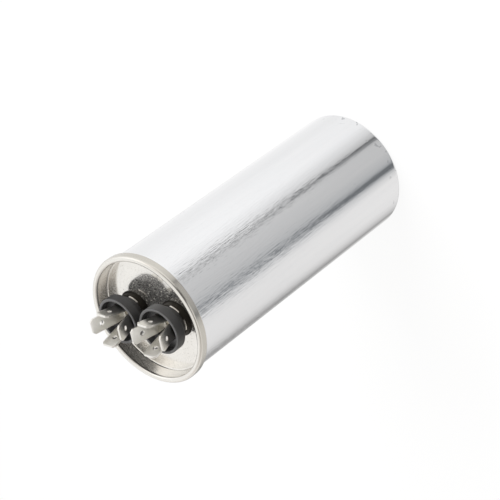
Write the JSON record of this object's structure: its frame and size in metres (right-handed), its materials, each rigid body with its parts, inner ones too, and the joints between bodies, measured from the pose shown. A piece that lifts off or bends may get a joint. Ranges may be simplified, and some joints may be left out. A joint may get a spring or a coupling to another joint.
{
  "type": "motor run capacitor",
  "caption": "Cylindrical aluminium can with a double-seamed tinplate lid and quick-connect terminals in black insulating cups, holding the film winding that runs a motor.",
  "frame": {"origin": "centre of the can's base", "axes": "+Z along the can's axis towards the terminals, +X from the left terminal to the right one"},
  "size_m": [0.0528, 0.0528, 0.1379],
  "materials": {
    "can_aluminium": "bright drawn aluminium with fine lengthwise lines",
    "lid_tinplate": "bright tinplate",
    "cup_plastic": "satin moulded black",
    "tab_metal": "bright tin plating",
    "rivet_metal": "tin plating",
    "seal_rubber": "plain moulded",
    "seam_lining": "cured sealing compound",
    "insulating_board": "plain pressed board",
    "holder_plastic": "plain moulded",
    "metallised_film": "tightly wound film",
    "wrap_film": "clear insulating film",
    "sprayed_zinc": "sprayed metal",
    "lead_wire": "tinned wire"
  },
  "bodies": {
    "root": {"can": "can_aluminium", "lid": "lid_tinplate", "seam_compound": "seam_lining", "base_tray": "holder_plastic", "bottom_end_spray": "sprayed_zinc", "film_winding": "metallised_film", "core_tube": "holder_plastic", "top_end_spray": "sprayed_zinc", "film_wrap": "wrap_film", "top_spacer": "holder_plastic", "top_lead": "lead_wire", "bottom_lead": "lead_wire", "left_cup": "cup_plastic", "left_seal": "seal_rubber", "left_lower_tabs": "tab_metal", "left_upper_tabs": "tab_metal", "left_rivet": "rivet_metal", "left_under_insulator": "insulating_board", "left_solder_tag": "lead_wire", "right_cup": "cup_plastic", "right_seal": "seal_rubber", "right_lower_tabs": "tab_metal", "right_upper_tabs": "tab_metal", "right_rivet": "rivet_metal", "right_under_insulator": "insulating_board", "right_solder_tag": "lead_wire"}
  },
  "joints": []
}
